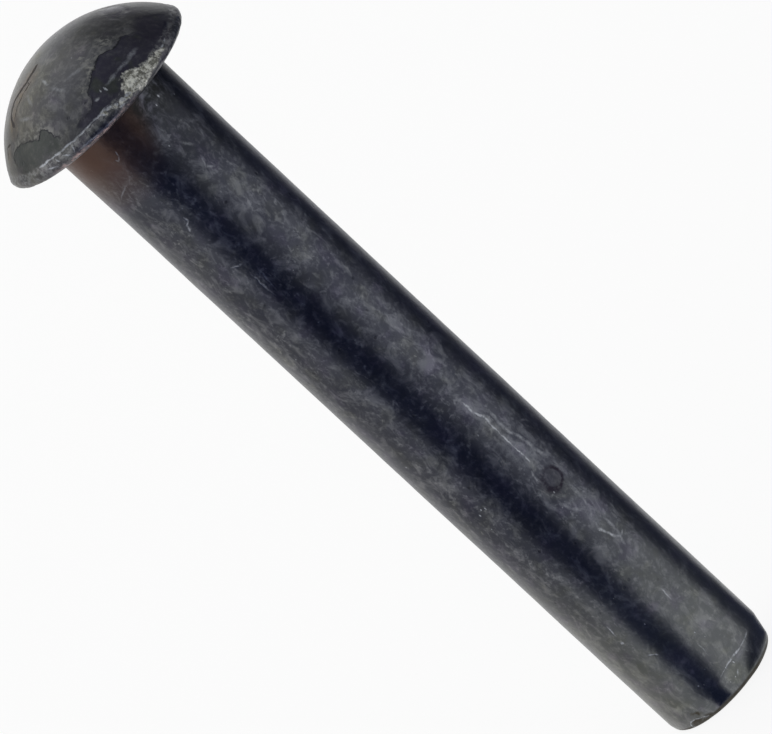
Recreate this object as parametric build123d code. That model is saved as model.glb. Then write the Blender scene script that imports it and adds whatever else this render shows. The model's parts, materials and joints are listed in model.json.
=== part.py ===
from build123d import *
from math import acos, atan2, cos, degrees, hypot, radians, sin, tan
import os

# Round head rivet, headed in one piece from steel wire and left in its black forging scale.
# Millimetres. +Z runs up the shank to the crown of the head. The origin is the centre of the
# flat tail end, on which the rivet stands.

# Shank
shank_diameter = 8.0
shank_length = 50.0  # from the tail end to the bearing face under the head

# The wire fills out a little where it enters the head
swell_depth = 0.06
swell_length = 6.0

# Head
head_diameter = 13.6  # across the widest part of the rim
head_height = 4.5
rim_height = 0.95  # from the bearing face up to the edge of the dome
rim_set_in = 0.27  # from the widest part of the rim in to the edge of the dome
rim_edge_radius = 0.45
under_head_fillet = 0.3

# Tail, where the wire was sheared off: its edge is rolled over more on one side
tail_bevel_depth = 0.25  # mean depth, at the end face
tail_bevel_shift = 0.15  # how far the bevel is off centre
tail_bevel_angle = 13.0  # slope of the bevel from the shank's side
tail_heavy_side = -38.0  # bearing of the deepest roll, turned from +X about +Z
tail_edge_radius = 0.3

shank_radius = shank_diameter / 2
head_radius = head_diameter / 2
crown_z = shank_length + head_height

# Dome: the cap of a sphere, from its edge above the rim to the crown
dome_edge_r = head_radius - rim_set_in
dome_edge_z = shank_length + rim_height
dome_rise = crown_z - dome_edge_z
dome_radius = (dome_edge_r**2 + dome_rise**2) / (2 * dome_rise)
dome_centre_z = crown_z - dome_radius
dome_edge_angle = degrees(atan2(dome_edge_z - dome_centre_z, dome_edge_r))
dome = CenterArc((0, dome_centre_z), dome_radius, dome_edge_angle, 90 - dome_edge_angle)

# Rounded lower edge of the rim, and the rim's straight side, which meets it at a tangent
edge_centre_r = head_radius - rim_edge_radius
edge_centre_z = shank_length + rim_edge_radius
to_dome_r = dome_edge_r - edge_centre_r
to_dome_z = dome_edge_z - edge_centre_z
tangent_angle = degrees(
    atan2(to_dome_z, to_dome_r) - acos(rim_edge_radius / hypot(to_dome_r, to_dome_z)))
rim_edge = CenterArc(
    (edge_centre_r, edge_centre_z), rim_edge_radius, -90, 90 + tangent_angle)
rim_side = Line((dome_edge_r, dome_edge_z), rim_edge @ 1)

# Flat bearing face, the fillet under it, and the swelled top of the shank
swell_radius = shank_radius + swell_depth
fillet_outer_r = swell_radius + under_head_fillet
bearing_face = Line(rim_edge @ 0, (fillet_outer_r, shank_length))
fillet_arc = CenterArc(
    (fillet_outer_r, shank_length - under_head_fillet), under_head_fillet, 90, 90)
swell_side = Line(fillet_arc @ 1, (shank_radius, shank_length - swell_length))
shank_side = Line(swell_side @ 1, (shank_radius, 0))
tail_face = Line(shank_side @ 1, (0, 0))
axis_line = Line((0, 0), (0, crown_z))

outline = (dome + rim_side + rim_edge + bearing_face + fillet_arc
           + swell_side + shank_side + tail_face + axis_line)
blank = revolve(make_face(Plane.XZ * outline), Axis.Z)


def tail_bevel():
    """Ring that the bevel takes off the tail, deepest on the heavy side."""
    reach = (tail_bevel_depth + tail_bevel_shift) / tan(radians(tail_bevel_angle))
    ring_height = 2 * reach
    end_radius = shank_radius - tail_bevel_depth
    top_radius = end_radius + ring_height * tan(radians(tail_bevel_angle))
    from_bottom = (Align.CENTER, Align.CENTER, Align.MIN)
    kept = Cone(end_radius, top_radius, ring_height, align=from_bottom)
    away = radians(tail_heavy_side + 180)
    kept = Pos(tail_bevel_shift * cos(away), tail_bevel_shift * sin(away)) * kept
    return Cylinder(shank_diameter, ring_height, align=from_bottom) - kept


rivet = blank - tail_bevel()
rivet = fillet(rivet.edges().group_by(Axis.Z)[0], tail_edge_radius)
rivet.label = "rivet"

os.makedirs("parts", exist_ok=True)
export_step(rivet, "parts/rivet.step")
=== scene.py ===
import json
import math

import bpy
import numpy as np
from mathutils import Matrix, Vector, noise


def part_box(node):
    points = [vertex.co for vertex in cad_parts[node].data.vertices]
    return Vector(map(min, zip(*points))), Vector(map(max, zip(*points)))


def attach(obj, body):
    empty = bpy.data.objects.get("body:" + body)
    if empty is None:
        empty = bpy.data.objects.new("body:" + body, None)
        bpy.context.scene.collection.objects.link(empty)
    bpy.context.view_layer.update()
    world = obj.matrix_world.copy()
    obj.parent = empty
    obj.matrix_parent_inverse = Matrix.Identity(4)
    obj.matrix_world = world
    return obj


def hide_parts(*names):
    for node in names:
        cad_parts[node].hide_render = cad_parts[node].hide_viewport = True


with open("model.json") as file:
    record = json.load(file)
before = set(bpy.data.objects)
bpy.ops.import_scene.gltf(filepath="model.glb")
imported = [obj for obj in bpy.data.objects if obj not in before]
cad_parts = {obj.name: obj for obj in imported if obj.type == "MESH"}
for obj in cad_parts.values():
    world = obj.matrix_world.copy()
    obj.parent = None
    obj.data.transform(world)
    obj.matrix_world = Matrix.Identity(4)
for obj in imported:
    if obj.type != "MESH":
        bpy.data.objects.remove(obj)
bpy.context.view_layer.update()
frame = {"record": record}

# The rivet: one length of steel wire, sheared off and upset hot at one end into a half-round
# head. Head and shank are the same metal. It came out of the dies covered in black scale, which
# has flaked off in places, and it has been knocked and scratched in the box since.

# Sizes in millimetres, with the main ones taken from the frame
METRES = 0.001
mounts = {mount["name"]: mount for mount in frame["record"]["mounts"]}
_, rivet_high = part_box("rivet")
shank_radius = mounts["shank"]["dims"]["r_mm"]
seat_z = mounts["head_seat"]["pos_m"][2] / METRES
crown_z = rivet_high[2] / METRES
head_radius = rivet_high[0] / METRES
swell_depth = 0.06
swell_length = 6.0
rim_height = 0.95
rim_set_in = 0.27
rim_edge_radius = 0.45
under_head_fillet = 0.3
tail_bevel_depth = 0.25
tail_bevel_shift = 0.15
tail_bevel_slope = math.tan(math.radians(13.0))
tail_heavy_side = 52.0  # bearing of the deepest roll
tail_edge_radius = 0.3

# How closely the skin is meshed
POINTS_ROUND = 240
SHANK_STEP = 0.2
HEAD_STEP = 0.13
EDGE_STEP = 0.07


def straight_run(r_from, z_from, r_to, z_to, spacing):
    """Rings along a straight stretch of the outline: radius, height and outward direction."""
    dr, dz = r_to - r_from, z_to - z_from
    length = math.hypot(dr, dz)
    count = max(2, round(length / spacing))
    along = np.arange(count) / count
    return [(r_from + dr * t, z_from + dz * t, dz / length, -dr / length) for t in along]


def round_run(r_centre, z_centre, radius, start, stop, spacing):
    """Rings along an arc of the outline, from one angle to another in degrees."""
    count = max(3, round(math.radians(abs(stop - start)) * radius / spacing))
    angles = np.radians(start + (stop - start) * np.arange(count) / count)
    hollow = -1 if stop < start else 1
    return [(r_centre + radius * math.cos(a), z_centre + radius * math.sin(a),
             hollow * math.cos(a), hollow * math.sin(a)) for a in angles]


# Dome and rim, worked out as in the forging's outline
dome_edge_r = head_radius - rim_set_in
dome_edge_z = seat_z + rim_height
dome_rise = crown_z - dome_edge_z
dome_radius = (dome_edge_r**2 + dome_rise**2) / (2 * dome_rise)
dome_centre_z = crown_z - dome_radius
dome_edge_angle = math.degrees(math.atan2(dome_edge_z - dome_centre_z, dome_edge_r))
rim_centre_r = head_radius - rim_edge_radius
rim_centre_z = seat_z + rim_edge_radius
to_dome_r = dome_edge_r - rim_centre_r
to_dome_z = dome_edge_z - rim_centre_z
rim_side_angle = math.degrees(
    math.atan2(to_dome_z, to_dome_r)
    - math.acos(rim_edge_radius / math.hypot(to_dome_r, to_dome_z)))
rim_side_r = rim_centre_r + rim_edge_radius * math.cos(math.radians(rim_side_angle))
rim_side_z = rim_centre_z + rim_edge_radius * math.sin(math.radians(rim_side_angle))
fillet_r = shank_radius + swell_depth + under_head_fillet
tail_face_r = shank_radius - tail_edge_radius
bevel_top_z = 2.2  # clear above the highest reach of the tail's bevel

outline = straight_run(0, 0, tail_face_r, 0, SHANK_STEP)[1:]
outline += round_run(tail_face_r, tail_edge_radius, tail_edge_radius, -90, 0, EDGE_STEP)
outline += straight_run(shank_radius, tail_edge_radius, shank_radius, bevel_top_z, HEAD_STEP)
outline += straight_run(shank_radius, bevel_top_z, shank_radius, seat_z - swell_length, SHANK_STEP)
outline += straight_run(shank_radius, seat_z - swell_length, shank_radius + swell_depth,
                        seat_z - under_head_fillet, SHANK_STEP)
outline += round_run(fillet_r, seat_z - under_head_fillet, under_head_fillet, 180, 90, EDGE_STEP)
outline += straight_run(fillet_r, seat_z, rim_centre_r, seat_z, HEAD_STEP)
outline += round_run(rim_centre_r, rim_centre_z, rim_edge_radius, -90, rim_side_angle, EDGE_STEP)
outline += straight_run(rim_side_r, rim_side_z, dome_edge_r, dome_edge_z, EDGE_STEP)
outline += round_run(0, dome_centre_z, dome_radius, dome_edge_angle, 90, HEAD_STEP)
rings = np.array(outline)

# A bearing is the angle round the axis from the front (-Y), positive towards +X
bearings = 2 * math.pi * np.arange(POINTS_ROUND) / POINTS_ROUND - math.pi
ring_r, bearing = np.meshgrid(rings[:, 0], bearings, indexing="ij")
height = np.repeat(rings[:, 1:2], POINTS_ROUND, axis=1)
out_r = np.repeat(rings[:, 2:3], POINTS_ROUND, axis=1)
out_z = np.repeat(rings[:, 3:4], POINTS_ROUND, axis=1)

# The shear rolled the tail's edge in, deepest on one side. The bevel meets the shank at a crease.
crease_softness = 0.012
roll = (tail_bevel_depth
        + tail_bevel_shift * np.cos(bearing - math.radians(tail_heavy_side))
        - height * tail_bevel_slope)
rolled_in = (roll + np.sqrt(roll**2 + crease_softness**2)) / 2
ring_r = ring_r - np.where(height < bevel_top_z, rolled_in, 0) * ring_r / shank_radius


def at_bearing(radius, turn, up):
    """Points at a radius, bearing (radians) and height."""
    return np.stack([radius * np.sin(turn), -radius * np.cos(turn), up], axis=-1)


skin = at_bearing(ring_r, bearing, height)
outward = at_bearing(out_r, bearing, out_z)
on_dome = height > dome_edge_z
on_rim = (height >= seat_z) & ~on_dome & (ring_r > rim_centre_r)
on_shank = (height < seat_z) & (height > 0)


def forged_unevenness(across, along, shift):
    """Soft unevenness of the skin, from -1 to 1, with its size across and along the wire."""
    flat = skin.reshape(-1, 3)
    values = [noise.noise(Vector((x / across + shift, y / across, z / along)))
              for x, y, z in flat]
    return np.array(values).reshape(skin.shape[:2])


def radius_at(up):
    """Radius of the head at a height."""
    return np.interp(up, rings[:, 1][rings[:, 1] > seat_z], rings[:, 0][rings[:, 1] > seat_z])


def depth_inside(edge):
    """Distance in millimetres inside a patch on the head, below zero outside it.
    Its edge is a closed list of bearings in degrees and heights above the seat."""
    edge = np.array(edge, float)
    turn, up = np.radians(edge[:, 0]), seat_z + edge[:, 1]
    corners = at_bearing(radius_at(up), turn, up)
    inside = np.zeros(bearing.shape, bool)
    nearest = np.full(bearing.shape, np.inf)
    for i in range(len(edge)):
        j = (i + 1) % len(edge)
        side = corners[j] - corners[i]
        t = np.clip(((skin - corners[i]) @ side) / (side @ side), 0, 1)
        away = np.linalg.norm(skin - corners[i] - t[..., None] * side, axis=-1)
        nearest = np.minimum(nearest, away)
        crosses = (up[i] > height) != (up[j] > height)
        if up[i] != up[j]:
            crossing = turn[i] + (height - up[i]) / (up[j] - up[i]) * (turn[j] - turn[i])
            inside ^= crosses & (bearing < crossing)
    return np.where(inside, nearest, -nearest)


# Where the head's first scale broke away and left smooth darker scale: (bearing, above seat)
flaked_patches = [
    [(62, 2.3), (49, 2.15), (42, 2.45), (36, 2.5), (31, 2.55), (26, 2.75), (22, 2.85), (17, 2.8),
     (14, 2.7), (10, 2.6), (6, 2.5), (0, 2.2), (-3, 1.8), (-5, 1.55), (-8, 1.4), (-15, 1.5),
     (-19, 1.3), (-19, 1.02), (0, 0.85), (13, 0.95), (20, 1.05), (30, 0.95), (40, 0.85), (62, 0.8),
     (72, 1.2)],
    [(-54, 2.25), (-67, 2.13), (-73, 1.84), (-71, 1.39), (-61, 1.06), (-45, 1.05), (-33, 1.09),
     (-30, 1.4), (-33, 1.78), (-35, 2.14), (-38, 2.32), (-41.5, 2.29), (-43.5, 2.05), (-47, 2.2)],
    [(112, 2.6), (100, 1.9), (98, 1.2), (118, 0.95), (140, 1.3), (146, 2.0), (130, 2.9)],
    [(-168, 3.1), (-176, 2.2), (-165, 1.4), (-140, 1.2), (-122, 1.9), (-135, 2.7), (-150, 2.8)],
    [(80, 3.6), (62, 3.3), (60, 2.9), (76, 2.7), (96, 3.0), (98, 3.5)],
]
flaked = np.max([depth_inside(patch) for patch in flaked_patches], axis=0)

# Where the die's lip tore the rim to bright coarse metal
torn_patches = [
    [(8, 0.5), (11, 0.75), (15, 1.3), (18, 1.5), (21, 1.5), (24, 1.25), (26, 1.05), (31, 0.98),
     (37, 0.84), (41, 0.72), (43, 0.62), (38, 0.6), (32, 0.4), (24, 0.2), (18, 0.15), (13, 0.42)],
    [(-6, 0.98), (-1, 0.93), (5, 0.74), (9, 0.62), (9, 0.52), (4, 0.6), (-2, 0.82)],
    [(150, 0.3), (156, 0.9), (168, 1.1), (175, 0.8), (172, 0.3)],
    [(-112, 0.3), (-108, 0.85), (-98, 0.9), (-92, 0.4)],
]
torn = np.max([depth_inside(patch) for patch in torn_patches], axis=0)

# Brown heat tint of the shank just under the head on one side, and the other side darker towards the
# head
under_seat = seat_z - height
above_seat = height - seat_z
bearing_degrees = np.degrees(bearing)


def fading(value, none_at, full_at):
    """Mask that goes evenly from 0 to 1 as the value goes from one mark to another."""
    return np.clip((value - none_at) / (full_at - none_at), 0, 1)


def round_side(middle_deg, half_width_deg, soft_deg):
    """Mask of one side of the wire, from its middle bearing out."""
    away = np.abs((bearing_degrees - middle_deg + 180) % 360 - 180)
    t = fading(away, half_width_deg + soft_deg, half_width_deg - soft_deg)
    return t * t * (3 - 2 * t)


tint_width = 65 + 24 * fading(under_seat, 4.6, 0)
heat_tint = on_shank * fading(under_seat, 5.2, 1.8) * round_side(-68, tint_width, 9)
# The right side of the neck is darker just under the head, most of all close to it
darker_near_head = 0.45 * fading(under_seat, 7.5, 4.5) + 0.5 * fading(under_seat, 3.2, 1.2)
neck_soot = on_shank * darker_near_head * round_side(68, 62, 12)

# Warmer scale on the left of the shank, and a stretch at the right with less bloom
warm_side = round_side(-90, 50, 25)
quiet_side = on_shank * 0.45 * round_side(68, 16, 14)

# On the head: where flaked edges are crisp, the rubbed rim, and a painted highlight on its low edge
crisp_edge = on_dome * fading(bearing_degrees, 50, 38) * fading(above_seat, 1.25, 1.75)
rubbed_rim = on_rim * fading(above_seat, 0.18, 0.38)
low_edge = on_rim * fading(above_seat, 0.40, 0.25) * round_side(-14, 24, 10)

# The skin itself: drawn waves along the shank, dimples on the dome, a coarse rim. The numbers
# before each unevenness are heights in millimetres.
waves = forged_unevenness(1.9, 9.0, 0.0)
hammer = forged_unevenness(0.9, 1.5, 11.0)
pebble = forged_unevenness(0.42, 0.6, 23.0)
dimples = forged_unevenness(1.6, 1.6, 37.0)
crumbs = forged_unevenness(0.28, 0.22, 51.0)
relief = on_shank * (0.012 * waves + 0.008 * hammer + 0.0025 * pebble)
relief += on_dome * (0.018 * dimples + 0.007 * hammer + 0.003 * pebble - 0.025)
relief += on_rim * (0.03 * crumbs + 0.02 * pebble - 0.05)
relief -= on_dome * 0.02 * fading(flaked, -0.06, 0.06)
relief += fading(torn, -0.1, 0.1) * (0.05 * crumbs + 0.03 * pebble - 0.04)

# The ring left by a blow on the side of the shank
DENT_BEARING = math.radians(26.5)
DENT_Z = 16.8
DENT_RADIUS = 0.65
DENT_WIDTH = 0.16
DENT_DEPTH = 0.02
DENT_SQUASH = 1.1
from_dent = np.hypot(DENT_SQUASH * (bearing - DENT_BEARING) * shank_radius, height - DENT_Z)
dent = np.exp(-(((from_dent - DENT_RADIUS) / DENT_WIDTH) ** 2))
relief -= on_shank * DENT_DEPTH * dent * (0.7 + 0.6 * pebble)

skin = skin + relief[..., None] * outward
skin[..., 2] = np.clip(skin[..., 2], 0, crown_z)
reach = np.hypot(skin[..., 0], skin[..., 1])
skin[..., :2] *= np.minimum(1, head_radius / reach)[..., None]

# One closed skin: the rings joined by squares, with a fan at the tail's centre and the crown
ring_count = len(rings)
corner = np.arange(ring_count * POINTS_ROUND).reshape(ring_count, POINTS_ROUND)
beside = np.roll(corner, -1, axis=1)
faces = np.stack([corner[:-1], beside[:-1], beside[1:], corner[1:]], axis=-1).reshape(-1, 4).tolist()
tail_centre, crown = ring_count * POINTS_ROUND, ring_count * POINTS_ROUND + 1
faces += [(tail_centre, beside[0, i], corner[0, i]) for i in range(POINTS_ROUND)]
faces += [(crown, corner[-1, i], beside[-1, i]) for i in range(POINTS_ROUND)]
crown_top = skin[-1, :, 2].mean()
points = np.vstack([skin.reshape(-1, 3), [(0, 0, 0), (0, 0, crown_top)]]) * METRES
forging_mesh = bpy.data.meshes.new("rivet_forging")
forging_mesh.from_pydata(points.tolist(), [], faces)
forging_mesh.shade_smooth()
for name, values in (("flaked", flaked), ("torn", torn), ("heat_tint", heat_tint),
                     ("neck_soot", neck_soot), ("warm_side", warm_side), ("rubbed_rim", rubbed_rim),
                     ("low_edge", low_edge), ("crisp_edge", crisp_edge),
                     ("quiet_side", quiet_side)):
    ends = (values[0].mean(), values[-1].mean())
    layer = forging_mesh.attributes.new(name, "FLOAT", "POINT")
    layer.data.foreach_set("value", np.append(values.ravel(), ends).astype(np.float32))
forging = bpy.data.objects.new("rivet_forging", forging_mesh)
bpy.context.collection.objects.link(forging)

# Finish: blue-black forging scale with a thin grey bloom, darker and smoother where it flaked,
# brown where the heat tinted it, and bare metal in the scratches and along the torn rim.
SCALE_BLACK = (0.040, 0.043, 0.059, 1)
SCALE_BLOOM = (0.190, 0.198, 0.225, 1)
TAIL_SCALE = (0.094, 0.100, 0.106, 1)
TAIL_BLOOM = (0.232, 0.240, 0.246, 1)
WARM_SIDE = (1.04, 1.0, 0.90, 1)
COOL_FRONT = (0.97, 0.98, 1.05, 1)
OLIVE_CAST = (1.0, 1.0, 0.92, 1)
VIOLET_CAST = (0.97, 0.93, 1.02, 1)
HEAD_SCALE = (0.045, 0.046, 0.051, 1)
HEAD_BLOOM = (0.149, 0.149, 0.148, 1)
FLAKED_NAVY = (0.040, 0.038, 0.058, 1)
FLAKED_GREEN = (0.046, 0.051, 0.049, 1)
FLAKE_EDGE = (0.014, 0.015, 0.020, 1)
HEAT_BROWN = (0.094, 0.054, 0.041, 1)
NECK_DARKER = (0.015, 0.016, 0.016, 1)
TORN_STEEL = (0.76, 0.76, 0.70, 1)
TORN_HOLLOW = (0.17, 0.17, 0.145, 1)
BARE_STEEL = (0.40, 0.42, 0.46, 1)
RUBBED_RIM = (0.26, 0.265, 0.27, 1)
RING_DARK = (0.017, 0.014, 0.023, 1)
ROUGH_LIGHT = (0.25, 0.25, 0.235, 1)
LOW_EDGE_HIGHLIGHT = (0.50, 0.37, 0.36, 1)
RUST_LINE = (0.016, 0.009, 0.006, 1)
RUST_HAZE = (0.92, 0.76, 0.62, 1)
TAIL_RUST = (0.034, 0.026, 0.012, 1)

scale_finish = bpy.data.materials.new("black_forging_scale")
scale_finish.use_nodes = True
graph = scale_finish.node_tree
graph.nodes.clear()


def step(kind, settings=None, **inputs):
    """One step of the finish. An input is given by name, or as in_0, in_1 by its place."""
    node = graph.nodes.new(kind)
    for name, value in (settings or {}).items():
        setattr(node, name, value)
    for name, value in inputs.items():
        key = int(name[3:]) if name.startswith("in_") else name.replace("_", " ")
        if isinstance(value, bpy.types.NodeSocket):
            graph.links.new(value, node.inputs[key])
        else:
            node.inputs[key].default_value = value
    return node


def sums(operation, first, second=0.0, clamp=False):
    """One sum or product of two values."""
    settings = {"operation": operation, "use_clamp": clamp}
    return step("ShaderNodeMath", settings, in_0=first, in_1=second).outputs[0]


def rise(value, low, high, floor=0.0, top=1.0):
    """Runs smoothly from floor to top as the value goes from low to high."""
    settings = {"interpolation_type": "SMOOTHSTEP"}
    return step("ShaderNodeMapRange", settings, in_0=value, in_1=low, in_2=high,
                in_3=floor, in_4=top).outputs[0]


def blend(amount, first, second):
    """Colour between two, by an amount."""
    return step("ShaderNodeMix", {"data_type": "RGBA"}, in_0=amount, in_6=first,
                in_7=second).outputs[2]


def between(amount, first, second):
    """Value between two, by an amount."""
    return step("ShaderNodeMix", {"data_type": "FLOAT"}, in_0=amount, in_2=first,
                in_3=second).outputs[0]


def cloud(places, size, roughness=0.55, detail=3.0, twist=0.0):
    """Cloudy value from 0 to 1 with patches of about a size in millimetres."""
    return step("ShaderNodeTexNoise", None, Vector=places, Scale=1 / size, Detail=detail,
                Roughness=roughness, Distortion=twist).outputs["Fac"]


def thread(value, width):
    """Thin winding lines where a cloudy value crosses its middle."""
    off_middle = sums("ABSOLUTE", sums("SUBTRACT", value, 0.5))
    return rise(off_middle, width, 0.0)


def spots(places, spacing, radius):
    """Small round spots, at most one to a cell of a spacing in millimetres."""
    away = step("ShaderNodeTexVoronoi", None, Vector=places, Scale=1 / spacing).outputs["Distance"]
    return rise(away, radius / spacing, 0.5 * radius / spacing)


def painted(name):
    """A value that the skin carries from point to point."""
    return step("ShaderNodeAttribute", {"attribute_name": name}).outputs["Fac"]


object_place = step("ShaderNodeTexCoord").outputs["Object"]
place = step("ShaderNodeVectorMath", {"operation": "SCALE"}, in_0=object_place,
             in_3=1 / METRES).outputs[0]
drawn_out = step("ShaderNodeMapping", {"vector_type": "POINT"}, Vector=place,
                 Scale=(1.0, 1.0, 0.62)).outputs[0]
x, y, from_tail = step("ShaderNodeSeparateXYZ", None, in_0=place).outputs
to_front = sums("MULTIPLY", y, -1.0)
is_head = rise(from_tail, seat_z - 0.02, seat_z + 0.02)

# Two flattened surfaces to place marks on: the dome as seen from above and the skin unrolled
# round the axis. Both wobble a little, so that no scratch is quite straight.
plan = step("ShaderNodeCombineXYZ", None, in_0=x, in_1=y).outputs[0]
off_axis = step("ShaderNodeVectorMath", {"operation": "LENGTH"}, in_0=plan).outputs[1]
round_way = sums("MULTIPLY", sums("ARCTAN2", x, to_front), off_axis)
unrolled = step("ShaderNodeCombineXYZ", None, in_0=round_way, in_1=from_tail).outputs[0]
wobble = step("ShaderNodeTexNoise", None, Vector=place, Scale=2.6, Detail=3.0).outputs["Color"]
wobble = step("ShaderNodeVectorMath", {"operation": "MULTIPLY_ADD"}, in_0=wobble,
              in_1=(0.22, 0.22, 0.0), in_2=(-0.11, -0.11, 0.0)).outputs[0]
unrolled = step("ShaderNodeVectorMath", {"operation": "ADD"}, in_0=unrolled, in_1=wobble).outputs[0]
plan = step("ShaderNodeVectorMath", {"operation": "ADD"}, in_0=plan, in_1=wobble).outputs[0]


def streak(flat_surface, start, end, width, strength):
    """Mask of one scratch or speck, a long soft oval between two places."""
    (x0, y0), (x1, y1) = start, end
    length = math.hypot(x1 - x0, y1 - y0)
    reach = 0.62 * (length + width)
    oval = step("ShaderNodeMapping", {"vector_type": "TEXTURE"}, Vector=flat_surface,
                Location=((x0 + x1) / 2, (y0 + y1) / 2, 0),
                Rotation=(0, 0, math.atan2(y1 - y0, x1 - x0)), Scale=(reach, width, 9)).outputs[0]
    shape = step("ShaderNodeTexGradient", {"gradient_type": "SPHERICAL"}, Vector=oval).outputs["Fac"]
    return sums("MULTIPLY", shape, strength)


def marked(flat_surface, marks, place_of):
    """The strongest of many scratches and specks on a flattened surface. A mark is its width in
    millimetres, its strength and its places, which place_of turns into flat ones."""
    total = 0.0
    for width, strength, *stops in marks:
        stops = [place_of(*stop) for stop in stops]
        for start, end in zip(stops, stops[1:] or stops):
            total = sums("MAXIMUM", total, streak(flat_surface, start, end, width, strength))
    return sums("MINIMUM", total, 1.0)


def on_wire(degrees, up):
    """Place on the unrolled shank, from a bearing and a height."""
    return math.radians(degrees) * shank_radius, up


def on_rim_side(degrees, above):
    """Place on the unrolled rim, from a bearing and a height above the seat."""
    return math.radians(degrees) * (head_radius - 0.2), seat_z + above


def on_crown(degrees, off_centre):
    """Place on the dome as seen from above, from a bearing and a distance from the axis."""
    turned = math.radians(degrees)
    return off_centre * math.sin(turned), -off_centre * math.cos(turned)


shank_scratched = marked(unrolled, [
    # The long scratch below the middle, its fainter companion and the smears beside them
    (0.10, 1.6, (21.2, 23.65), (21.5, 22.86), (24.6, 22.14), (24.3, 21.68)),
    (0.075, 1.3, (24.3, 21.68), (23.8, 20.86), (23.2, 19.75), (23.4, 18.87), (23.5, 18.43)),
    (0.09, 0.5, (18.2, 18.0), (16.7, 17.7), (14.5, 17.3)),
    (0.14, 0.50, (31.8, 22.06), (30.7, 21.47), (29.6, 20.79), (32.2, 20.11)),
    (0.15, 0.45, (32.2, 20.11), (34.8, 19.43), (35.2, 18.73), (37.9, 17.95)),
    (0.32, 0.30, (20, 24.0), (24, 21.5), (23.5, 18.6)),
    (0.35, 0.28, (22.1, 20.2), (28.6, 19.1), (31, 18.2)),
    (0.4, 0.2, (18, 20.5), (17, 18.5)),
    # Rubs and hooked scratches below the ring, and the speck on its edge
    (0.07, 2.0, (18.3, 16.2)),
    (0.18, 0.3, (10.3, 16.9), (7.5, 16.4), (5.9, 15.8)),
    (0.14, 0.36, (14.9, 15.5), (18.1, 14.8), (24, 14.25)),
    (0.18, 0.30, (33.5, 15.9), (31.8, 14.5)),
    (0.5, 0.22, (27, 14.6), (24, 12.6)),
    (0.13, 0.42, (32.7, 14.7), (29.4, 14.1), (32.1, 13.6)),
    (0.14, 0.38, (29, 13.9), (24, 13.5), (22.2, 12.8)),
    (0.12, 0.9, (21.5, 12.8), (24, 12.3), (27, 11.7)),
    (0.12, 0.5, (27, 11.7), (31, 11.5), (35, 11.6)),
    (0.12, 0.4, (32.4, 12.9), (31.9, 11.9), (26.9, 11.0)),
    # Specks at the left and in the middle
    (0.09, 2.3, (-35, 18.5)), (0.08, 2.1, (-31.3, 18.4)), (0.10, 1.7, (-40, 18.25)),
    (0.06, 1.3, (-42.4, 17.2)), (0.07, 1.4, (10.1, 21.8)), (0.04, 1.3, (-12.6, 9.4)),
    # Short scratches and specks above the tail
    (0.06, 0.9, (20, 7.7), (19.5, 6.9)), (0.06, 1.1, (-35.2, 8.4), (-36.1, 7.6)),
    (0.10, 1.8, (-37.4, 7.07), (-36.6, 6.97)), (0.06, 1.8, (-10.3, 7.0)),
    (0.07, 1.1, (-28, 5.5), (-24, 5.3), (-21.9, 5.2)),
    (0.08, 1.7, (12.6, 4.5)), (0.06, 0.9, (8.5, 4.4)), (0.05, 1.1, (15.7, 3.9)),
    (0.06, 0.5, (7.6, 4.0), (6.4, 3.1)), (0.07, 1.9, (-18.2, 2.15)), (0.05, 1.7, (-13.8, 2.0)),
    # The line that the shear's clamp left round the tail, and specks below it
    (0.06, 0.8, (46, 1.90), (39, 1.83), (29.6, 1.82)),
    (0.07, 1.2, (29.6, 1.82), (18.4, 1.84), (8.7, 1.76)),
    (0.05, 0.8, (8.7, 1.76), (-0.2, 1.58)), (0.24, 0.22, (40, 1.65), (18, 1.5)),
    (0.08, 1.9, (8.7, 1.76)), (0.10, 1.9, (16.4, 1.6)), (0.07, 1.3, (14.2, 1.08), (11.1, 0.84)),
    (0.06, 1.2, (8.2, 0.9)), (0.06, 1.0, (2.4, 0.94)),
    # The bright lip of the tail's rusty nick
    (0.06, 1.1, (-50, 0.62), (-43.7, 0.6), (-39, 0.5)), (0.05, 0.8, (-39, 0.5), (-31.2, 0.32)),
    (0.05, 1.2, (-48.9, 0.63), (-52.5, 0.47), (-52.7, 0.26), (-49.9, 0.11)),
    # Specks and short curls under the head
    (0.08, 2.6, (29.4, 48.35)), (0.13, 1.1, (37.1, 48.54)), (0.08, 0.6, (50.4, 47.8)),
    (0.08, 1.7, (11.7, 46.3)), (0.12, 0.25, (20, 46.0), (26, 45.2)), (0.10, 0.5, (13, 42.3)),
    (0.06, 0.6, (-21.9, 48.25), (-22.7, 47.93), (-25.6, 47.7), (-26.9, 47.86)),
    (0.08, 0.4, (-38, 46.4), (-53, 45.9)),
    (0.08, 1.1, (-23.8, 42.8), (-23.1, 42.5), (-27.4, 42.35), (-28.6, 42)),
    (0.08, 0.4, (21.9, 44.4), (19.6, 43.9), (25, 43.5)),
    (0.08, 0.9, (-27, 38.8), (-19, 38.6)), (0.08, 0.8, (-20, 37.8), (-19, 36.1)),
    (0.07, 0.6, (-12, 37.9), (-15, 36.2)),
    # Scratches at the sides and the back
    (0.08, 0.9, (150, 38.0), (158, 34.5), (156, 31.0)), (0.08, 0.8, (-120, 21.0), (-128, 17.2)),
    (0.09, 0.9, (-150, 9.0), (-144, 7.4)), (0.08, 0.9, (100, 27.0), (104, 23.5)),
], on_wire)
tail_rusted = marked(unrolled, [
    (0.36, 2.6, (-48, 0.36), (-36, 0.26)), (0.26, 1.6, (-42, 1.0), (-35, 0.7)),
    (0.2, 1.2, (-34, 0.4), (-26, 0.2)),
], on_wire)
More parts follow.
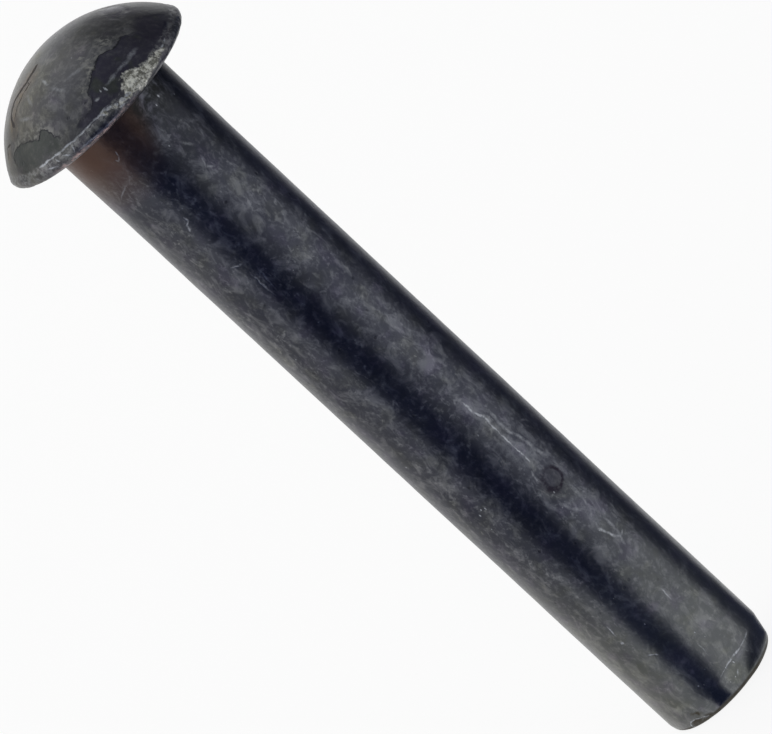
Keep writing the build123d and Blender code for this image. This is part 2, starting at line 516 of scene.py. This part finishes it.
rim_scratched = marked(unrolled, [
    # Bright specks beside the torn patch
    (0.11, 2.8, (13, 0.60), (10.5, 0.66)), (0.10, 2.8, (9, 0.60), (7, 0.72)),
    (0.09, 2.4, (5, 0.70), (3.6, 0.78)), (0.08, 2.0, (1.5, 0.84), (-1, 0.92)),
    (0.08, 1.8, (7, 0.45), (4.5, 0.5)), (0.07, 1.6, (-3, 0.8), (-5, 0.9)),
    (0.07, 1.6, (42, 0.68), (45, 0.72)), (0.06, 1.4, (46.5, 0.70), (49, 0.75)),
    # The bright line where the rim meets the dome
    (0.07, 1.6, (-49, 0.93), (-40, 0.97), (-33, 0.96)), (0.07, 1.5, (-33, 0.96), (-21, 0.95)),
    (0.08, 1.4, (-22, 0.95), (-10, 0.98), (0, 1.0)),
    # Rubs across the rim
    (0.08, 1.2, (-24, 0.40), (-8, 0.34)), (0.07, 1.0, (-10, 0.34), (2, 0.28)),
    (0.07, 1.2, (-46, 0.65), (-40, 0.45)), (0.07, 1.3, (-33, 0.75), (-30, 0.5)),
    (0.06, 1.2, (-26, 0.8), (-27, 0.55)), (0.06, 1.0, (-38, 0.8), (-37, 0.6)),
], on_rim_side)
dome_scratched = marked(plan, [
    # The light streak in the flaked patch and the specks below it
    (0.13, 0.55, (36, 5.95), (27, 5.92), (22, 5.93)), (0.10, 0.55, (9, 5.91), (18, 5.91), (26, 5.95)),
    (0.11, 1.9, (6.5, 5.98)), (0.09, 1.6, (4, 5.87)), (0.07, 1.0, (-1.5, 6.0), (0.5, 6.0)),
    # Faint rubs over the crown
    (0.13, 0.42, (-27, 2.97), (-22, 3.55)), (0.14, 0.24, (-52, 3.3), (-44, 4.0)),
    (0.14, 0.28, (-60, 4.4), (-46, 4.6)), (0.16, 0.24, (-20, 3.9), (-12, 4.6)),
    (0.14, 0.22, (-5, 4.2), (10, 4.5)),
], on_crown)
rust_lined = marked(plan, [
    # A fine crack in the scale with rust in it, and thinner ones beside it
    (0.20, 3.0, (-40, 1.55), (-47, 1.85)),
    (0.15, 3.0, (-47, 1.85), (-54, 2.1), (-60, 2.4), (-73, 2.9)),
    (0.16, 3.2, (-73, 2.9), (-80, 3.3), (-81, 3.95)), (0.14, 3.0, (-81, 3.95), (-76, 4.3), (-69, 4.6)),
    (0.07, 1.6, (-47, 2.5), (-60, 3.0), (-68, 3.7), (-70, 4.3)), (0.12, 2.2, (-54, 2.5)),
    (0.08, 2.0, (-84, 5.5), (-83, 5.9)), (0.08, 1.8, (-76, 5.3), (-84, 5.5)),
], on_crown)
dome_scratched = sums("MULTIPLY", dome_scratched, is_head)
rust_lined = sums("MULTIPLY", rust_lined, is_head)
scratched = sums("MAXIMUM", sums("MAXIMUM", shank_scratched, rim_scratched), dome_scratched)
broken_up = rise(cloud(place, 0.14, 0.6), 0.30, 0.56, 0.30, 1.0)
scratched = sums("MULTIPLY", scratched, broken_up, clamp=True)

# Rough light scale beside the flaked patch, and the brown haze round the rust
rough_dome = marked(plan, [
    (0.50, 1.3, (31, 4.3), (37, 4.6)), (0.45, 0.8, (20, 3.6), (14, 4.3)),
    (0.28, 0.9, (13, 4.75), (8, 5.0)), (0.6, 0.7, (70, 4.6), (82, 5.2)),
], on_crown)
rust_hazed = marked(plan, [
    (0.9, 1.3, (-44, 1.9), (-60, 2.5), (-70, 3.2)), (0.9, 1.3, (-72, 3.2), (-78, 4.0), (-70, 4.7)),
    (0.6, 1.0, (-84, 5.6), (-78, 5.8)),
], on_crown)

# Grey bloom in clouds, smudges and fine winding threads, a little of it where the skin is quiet
QUIET_BLOOM = 0.28
near_tail = rise(from_tail, 17.0, 4.0)
stroked = step("ShaderNodeMapping", {"vector_type": "POINT"}, Vector=place,
               Rotation=(0.12, 0.10, 0.0), Scale=(1.0, 1.0, 0.46)).outputs[0]
broad = cloud(drawn_out, 2.6, 0.5, 2.0)
gather = rise(cloud(drawn_out, 1.5, 0.55, 2.0, 0.6), 0.38, 0.64)
mottle = cloud(drawn_out, 0.80, 0.66, 4.0, 0.7)
fleck = cloud(place, 0.32, 0.62, 3.0)
speckle = cloud(place, 0.13, 0.6)
strokes = rise(cloud(stroked, 0.24, 0.55, 2.0, 0.5), 0.56, 0.74)
long_threads = thread(cloud(drawn_out, 1.25, 0.5, 2.0, 1.1), 0.045)
threads = sums("MULTIPLY", long_threads, rise(fleck, 0.44, 0.66))
light_marks = sums("MULTIPLY", sums("MAXIMUM", sums("MULTIPLY", strokes, 0.62), threads), gather)
bloom = sums("ADD", rise(broad, 0.28, 0.72, 0.0, 0.14), rise(mottle, 0.46, 0.70, 0.0, 0.56))
bloom = sums("ADD", bloom, sums("MULTIPLY", gather, 0.08))
bloom = sums("ADD", bloom, rise(fleck, 0.48, 0.72, 0.0, 0.28))
light_marks = sums("MULTIPLY", light_marks, rise(near_tail, 0.0, 1.0, 0.66, 0.40))
bloom = sums("ADD", bloom, light_marks, clamp=True)
bloom = between(painted("quiet_side"), bloom, QUIET_BLOOM)
ground = blend(near_tail, SCALE_BLACK, TAIL_SCALE)
bloom_colour = blend(near_tail, SCALE_BLOOM, TAIL_BLOOM)
head_bloom = sums("ADD", sums("MULTIPLY", bloom, 0.95), 0.14, clamp=True)
colour = blend(between(is_head, bloom, head_bloom), blend(is_head, ground, HEAD_SCALE),
               blend(is_head, bloom_colour, HEAD_BLOOM))


def tinted(amount, first, tint):
    """Colour tinted by another, by an amount."""
    return step("ShaderNodeMix", {"data_type": "RGBA", "blend_type": "MULTIPLY"},
                in_0=amount, in_6=first, in_7=tint).outputs[2]


# The scale drifts in hue, and has pits and bright specks
hue_drift = cloud(place, 1.4, 0.5, 2.0)
colour = tinted(rise(hue_drift, 0.50, 0.70), colour, OLIVE_CAST)
colour = tinted(rise(hue_drift, 0.48, 0.30), colour, VIOLET_CAST)
colour = tinted(painted("warm_side"), colour, WARM_SIDE)
colour = tinted(sums("MULTIPLY", is_head, rise(to_front, 2.6, 4.6)), colour, COOL_FRONT)
pits = sums("MULTIPLY", spots(place, 1.1, 0.13), rise(mottle, 0.60, 0.45))
pits = sums("MULTIPLY", pits, rise(near_tail, 0.0, 1.0, 1.0, 0.35))
colour = blend(sums("MULTIPLY", pits, 0.45), colour, FLAKE_EDGE)
glints = sums("MULTIPLY", spots(place, 1.5, 0.065), rise(fleck, 0.48, 0.58))
colour = blend(sums("MULTIPLY", glints, 0.7), colour, BARE_STEEL)

# Heat tint under the head, and the other side of the neck darker just under it
tint = sums("MULTIPLY", painted("heat_tint"), rise(broad, 0.2, 0.7, 0.8, 1.0))
colour = blend(tint, colour, HEAT_BROWN)
# Darker colour on the right side of the neck just under the head
neck_darkened = sums("MULTIPLY", painted("neck_soot"), rise(mottle, 0.66, 0.4, 0.45, 1.0))
colour = blend(neck_darkened, colour, NECK_DARKER)

# Flaked patches: ragged, with a dark crisp edge and a light rough lip where they face the front
edge_wander = sums("MULTIPLY", sums("SUBTRACT", cloud(place, 0.7, 0.6), 0.5), 0.7)
ragged = sums("ADD", painted("flaked"), edge_wander)
crisp = painted("crisp_edge")
fade = rise(crisp, 0.0, 1.0, 0.30, 0.035)
flaked_here = rise(ragged, sums("MULTIPLY", fade, -1.0), fade)
flake_edge = sums("MULTIPLY", rise(ragged, -0.10, -0.03), rise(ragged, 0.06, -0.01))
flake_edge = sums("MULTIPLY", flake_edge, crisp)
flake_edge = sums("MULTIPLY", flake_edge, rise(mottle, 0.35, 0.55, 0.1, 0.8))
flake_lip = sums("MULTIPLY", rise(ragged, -0.80, -0.15), rise(ragged, -0.04, -0.10))
flake_lip = sums("MULTIPLY", flake_lip, crisp)
flake_lip = sums("MULTIPLY", flake_lip, rise(fleck, 0.40, 0.64, 0.0, 0.42))
colour = blend(flake_lip, colour, ROUGH_LIGHT)
to_right = step("ShaderNodeSeparateXYZ", None, in_0=unrolled).outputs[0]
green_side = sums("MAXIMUM", rise(hue_drift, 0.50, 0.66), rise(to_right, -1.6, -2.5))
flaked_scale = blend(green_side, FLAKED_NAVY, FLAKED_GREEN)
flaked_scale = blend(rise(fleck, 0.3, 0.7, 0.05, 0.40), flaked_scale, colour)
colour = blend(flaked_here, colour, flaked_scale)
colour = blend(flake_edge, colour, FLAKE_EDGE)

# Torn and rubbed metal on the rim, and a painted highlight on its lower edge
torn_ragged = sums("ADD", painted("torn"), sums("MULTIPLY", sums("SUBTRACT", fleck, 0.5), 0.9))
torn_here = rise(torn_ragged, -0.12, 0.10)
crystals = rise(cloud(place, 0.26, 0.72, 4.0), 0.38, 0.62)
rubbed = sums("MULTIPLY", painted("rubbed_rim"), rise(crystals, 0.35, 0.90, 0.04, 0.55))
colour = blend(rubbed, colour, RUBBED_RIM)
# A painted highlight: the rim's lower edge at the front is made light pink
painted_edge_highlight = sums("MULTIPLY", painted("low_edge"), rise(fleck, 0.42, 0.62, 0.08, 0.85))
colour = blend(painted_edge_highlight, colour, LOW_EDGE_HIGHLIGHT)
torn_colour = blend(crystals, TORN_HOLLOW, TORN_STEEL)
colour = blend(sums("MULTIPLY", torn_here, rise(mottle, 0.3, 0.5, 0.5, 1.0)), colour, torn_colour)

# The blow's ring is dark, widest on its left and faint at its top
to_ring = step("ShaderNodeVectorMath", {"operation": "SUBTRACT"}, in_0=unrolled,
               in_1=(DENT_BEARING * shank_radius, DENT_Z, 0)).outputs[0]
from_ring = step("ShaderNodeVectorMath", {"operation": "LENGTH"}, in_0=to_ring).outputs[1]
off_ring = sums("ABSOLUTE", sums("SUBTRACT", from_ring, DENT_RADIUS))
ring_right, ring_up, _ = step("ShaderNodeSeparateXYZ", None, in_0=to_ring).outputs
ring_spread = rise(ring_right, 0.1, -0.6, 0.20, 0.42)
ring = sums("MULTIPLY", rise(off_ring, ring_spread, 0.04), rise(fleck, 0.62, 0.42, 0.50, 0.92))
ring = sums("MULTIPLY", ring, rise(ring_up, 0.30, 0.65, 1.0, 0.55))
inside_ring = rise(from_ring, DENT_RADIUS + 0.1, DENT_RADIUS - 0.2, 0.0, 0.35)
ring = sums("MAXIMUM", ring, inside_ring)
colour = blend(ring, colour, RING_DARK)

# Rust round the tail's edge and on the dome, and the scratches over everything
tail_rust = sums("MULTIPLY", rise(from_tail, 0.36, 0.20), rise(mottle, 0.3, 0.6, 0.75, 1.0))
tail_rust = sums("MAXIMUM", tail_rust, sums("MULTIPLY", tail_rusted, rise(fleck, 0.3, 0.55)))
colour = blend(tail_rust, colour, TAIL_RUST)
rough_dome = sums("MULTIPLY", sums("MULTIPLY", rough_dome, is_head), rise(fleck, 0.44, 0.60, 0.0, 0.75))
colour = blend(rough_dome, colour, ROUGH_LIGHT)
colour = tinted(sums("MULTIPLY", rust_hazed, is_head), colour, RUST_HAZE)
colour = blend(rust_lined, colour, RUST_LINE)
colour = blend(scratched, colour, BARE_STEEL)

# Gloss: the bloom is duller, flaked scale and the tail glossier, rust dull and hardly metallic
roughness = rise(bloom, 0.0, 1.0, 0.345, 0.44)
roughness = sums("ADD", roughness, sums("MULTIPLY", is_head, 0.05))
roughness = sums("SUBTRACT", roughness, sums("MULTIPLY", near_tail, 0.03))
roughness = sums("SUBTRACT", roughness, sums("MULTIPLY", flaked_here, 0.06))
roughness = sums("ADD", roughness, rise(speckle, 0.3, 0.7, -0.03, 0.05))
rusty = sums("MAXIMUM", rust_lined, tail_rust)
roughness = sums("ADD", roughness, sums("MULTIPLY", rusty, 0.25))
metal_share = sums("MINIMUM", rise(tint, 0.0, 1.0, 0.95, 0.84), rise(rusty, 0.0, 1.0, 0.95, 0.25))

# The finest relief, in millimetres
bump_height = sums("MULTIPLY", mottle, 0.009)
bump_height = sums("ADD", bump_height, sums("MULTIPLY", fleck, 0.007))
bump_height = sums("ADD", bump_height, sums("MULTIPLY", speckle, 0.003))
bump_height = sums("SUBTRACT", bump_height, sums("MULTIPLY", pits, 0.01))
bump_height = sums("SUBTRACT", bump_height, sums("MULTIPLY", scratched, 0.008))
bump_height = sums("SUBTRACT", bump_height, sums("MULTIPLY", rust_lined, 0.012))
bump_height = sums("SUBTRACT", bump_height, sums("MULTIPLY", flaked_here, 0.015))
bump_height = sums("ADD", bump_height, sums("MULTIPLY", sums("MULTIPLY", crystals, torn_here), 0.03))
surface = step("ShaderNodeBump", None, Strength=1.0, Distance=METRES, Height=bump_height).outputs[0]

steel = step("ShaderNodeBsdfPrincipled", None, Base_Color=colour, Roughness=roughness,
             Metallic=metal_share, Normal=surface)
step("ShaderNodeOutputMaterial", None, Surface=steel.outputs[0])
forging_mesh.materials.append(scale_finish)

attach(forging, "root")
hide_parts("rivet")

# The dish that the rivet stands in: a wide white round one, flat in the middle, with its edge
# turned up. It is painted white and stays white where it is seen, also in the metal, but keeps
# a share of the rivet's shadow.
DISH_WHITE = (0.92, 0.92, 0.92, 1)
DISH_FLAT, DISH_TURN, DISH_RIM = 1.1, 0.3, 0.32
DISH_SIDES = 96
dish_line = [(0.05, 0.0), (0.4, 0.0), (DISH_FLAT, 0.0)]
dish_line += [(DISH_FLAT + DISH_TURN * math.sin(a), DISH_TURN * (1 - math.cos(a)))
              for a in np.radians(np.linspace(10, 90, 9))]
dish_line += [(DISH_FLAT + DISH_TURN, DISH_RIM)]
dish_points = [(r * math.sin(a), -r * math.cos(a), z) for r, z in dish_line
               for a in np.linspace(0, 2 * math.pi, DISH_SIDES, endpoint=False)]
dish_faces = [(i * DISH_SIDES + k, (i + 1) * DISH_SIDES + k,
               (i + 1) * DISH_SIDES + (k + 1) % DISH_SIDES, i * DISH_SIDES + (k + 1) % DISH_SIDES)
              for i in range(len(dish_line) - 1) for k in range(DISH_SIDES)]
dish_faces.append(tuple(range(DISH_SIDES)))
dish_mesh = bpy.data.meshes.new("white_dish")
dish_mesh.from_pydata(dish_points, [], dish_faces)
dish_mesh.shade_smooth()
dish = bpy.data.objects.new("white_dish", dish_mesh)
bpy.context.collection.objects.link(dish)

dish_paint = bpy.data.materials.new("white_dish")
dish_paint.use_nodes = True
graph = dish_paint.node_tree
graph.nodes.clear()
rays = step("ShaderNodeLightPath")
seen = sums("MAXIMUM", rays.outputs["Is Camera Ray"], rays.outputs["Is Glossy Ray"])
seen = sums("MAXIMUM", seen, rays.outputs["Is Transmission Ray"])
SHADOW_SHARE = 0.11
painted_white = step("ShaderNodeBsdfDiffuse", None, Color=DISH_WHITE).outputs[0]
plain_white = step("ShaderNodeEmission", None, Color=(1, 1, 1, 1), Strength=1.0).outputs[0]
lit_share = sums("MULTIPLY", seen, 1 - SHADOW_SHARE)
mixed = step("ShaderNodeMixShader", None, in_0=lit_share, in_1=painted_white, in_2=plain_white)
step("ShaderNodeOutputMaterial", None, Surface=mixed.outputs[0])
dish_mesh.materials.append(dish_paint)

# The room: pale and dim, with three soft lamps. The widest hangs high up behind the rivet on
# its left, a smaller one stands at its left, and one low behind it lights the dome's far side.
ROOM_TINT = (0.94, 0.97, 1.0, 1)
ROOM_LEVEL = 0.42
room = bpy.data.worlds.new("dim_room")
room.use_nodes = True
room_walls = room.node_tree.nodes["Background"]
room_walls.inputs["Color"].default_value = ROOM_TINT
room_walls.inputs["Strength"].default_value = ROOM_LEVEL
bpy.context.scene.world = room


def soft_light(name, bearing_deg, elevation_deg, width, radiance, tint, distance=1.0):
    """A square soft light aimed at the rivet, by its brightness as seen from the rivet."""
    round_by, raised = math.radians(bearing_deg), math.radians(elevation_deg)
    toward = Vector(at_bearing(math.cos(raised), round_by, math.sin(raised)))
    lamp = bpy.data.lights.new(name, "AREA")
    lamp.shape = "SQUARE"
    lamp.size = width
    lamp.energy = radiance * math.pi * width * width
    lamp.color = tint
    holder = bpy.data.objects.new(name, lamp)
    holder.location = toward * distance
    holder.rotation_euler = toward.to_track_quat("Z", "Y").to_euler()
    holder.visible_camera = False
    bpy.context.collection.objects.link(holder)


soft_light("soft_light_over", -138, 60, width=1.2, radiance=0.97, tint=(1.0, 0.985, 0.95))
soft_light("soft_light_left", -85, 26, width=0.6, radiance=0.75, tint=(1.0, 0.98, 0.94))
soft_light("soft_light_back", 178, 21, width=0.68, radiance=0.80, tint=(1.0, 1.0, 1.0))

# Cards of plain cloth, dark blue and grey, stand round the rivet out of sight. They are seen
# only in the metal, where the dark ones give the shank its two dark bands and the grey ones
# soften the light between them.
CARD_COLUMNS = 17


def card_cloth(name, shade):
    """Plain cloth of one shade, which needs no light."""
    cloth = bpy.data.materials.new(name)
    cloth.use_nodes = True
    nodes = cloth.node_tree.nodes
    nodes.clear()
    plain = nodes.new("ShaderNodeEmission")
    plain.inputs["Color"].default_value = shade
    output = nodes.new("ShaderNodeOutputMaterial")
    cloth.node_tree.links.new(plain.outputs[0], output.inputs["Surface"])
    return cloth


def bent_card(name, shade, rows):
    """A card bent round the rivet. Each row gives the distance and height of a fold in
    millimetres, and the two bearings between which it runs."""
    card_points = []
    for distance, up, from_deg, to_deg in rows:
        for a in np.radians(np.linspace(from_deg, to_deg, CARD_COLUMNS)):
            card_points.append(Vector(at_bearing(distance, a, up)) * METRES)
    corners = [i * CARD_COLUMNS + k for i in range(len(rows) - 1) for k in range(CARD_COLUMNS - 1)]
    card_faces = [(c, c + 1, c + 1 + CARD_COLUMNS, c + CARD_COLUMNS) for c in corners]
    mesh = bpy.data.meshes.new(name)
    mesh.from_pydata(card_points, [], card_faces)
    mesh.materials.append(card_cloth(name, shade))
    card = bpy.data.objects.new(name, mesh)
    card.visible_camera = card.visible_diffuse = card.visible_shadow = False
    card.visible_transmission = card.visible_volume_scatter = False
    bpy.context.collection.objects.link(card)


bent_card("dark_card_front", (0.015, 0.030, 0.110, 1), [
    (3.95, 0.1, -20, -4), (5.3, 0.3, -27, -4), (8, 0.3, -37, 0),
    (30, 0.3, -46, 6), (30, 60, -46, 6)])
bent_card("dark_card_right", (0.050, 0.060, 0.110, 1), [
    (3.95, 0.1, 21, 92), (4.4, 0.2, 27, 98), (4.8, 0.3, 34, 104), (5.8, 0.3, 51, 112),
    (7.5, 0.3, 68, 122), (10.5, 0.3, 79, 128), (30, 0.3, 84, 136), (30, 60, 84, 136)])
bent_card("grey_card_front", (0.42, 0.43, 0.46, 1), [(31, 3.5, 4, 25), (31, 60, 4, 25)])
bent_card("grey_card_left", (0.70, 0.70, 0.71, 1), [
    (6, 0.3, -74, -50), (31, 0.3, -104, -60), (31, 60, -104, -60)])
bent_card("grey_card_behind", (0.20, 0.20, 0.22, 1), [(100, 82, 95, 166), (100, 165, 95, 166)])

# The camera: a long lens in front of the rivet and a little above it, rolled over so that the
# rivet lies from corner to corner of the picture. Everything in it is sharp.
PHOTO_WIDTH, PHOTO_HEIGHT = 772, 734
PIXELS_PER_MM = 17.66
CAMERA_DISTANCE = 0.571
CAMERA_ELEVATION = math.radians(15.09)
SHANK_MIDDLE = Vector((0, 0, 0.025))
SHANK_MIDDLE_PIXEL = (416.2, 394.4)
HEAD_DIRECTION = math.radians(137.126)
SENSOR = 36.0
forward = Vector((0, math.cos(CAMERA_ELEVATION), -math.sin(CAMERA_ELEVATION)))
level = Vector((1, 0, 0))
upright = level.cross(forward)
swing = HEAD_DIRECTION - math.pi / 2
right = level * math.cos(swing) - upright * math.sin(swing)
up = level * math.sin(swing) + upright * math.cos(swing)
off_x = (SHANK_MIDDLE_PIXEL[0] - PHOTO_WIDTH / 2) / PIXELS_PER_MM * METRES
off_y = (PHOTO_HEIGHT / 2 - SHANK_MIDDLE_PIXEL[1]) / PIXELS_PER_MM * METRES
aim = SHANK_MIDDLE - right * off_x - up * off_y
lens = bpy.data.cameras.new("camera")
lens.sensor_width = SENSOR
lens.lens = SENSOR * PIXELS_PER_MM / METRES * CAMERA_DISTANCE / PHOTO_WIDTH
lens.clip_start, lens.clip_end = 0.01, 20.0
camera = bpy.data.objects.new("camera", lens)
turned = Matrix((right, up, -forward)).transposed()
camera.matrix_world = Matrix.Translation(aim - forward * CAMERA_DISTANCE) @ turned.to_4x4()
bpy.context.collection.objects.link(camera)
bpy.context.scene.camera = camera

bpy.context.scene.view_settings.view_transform = "Standard"
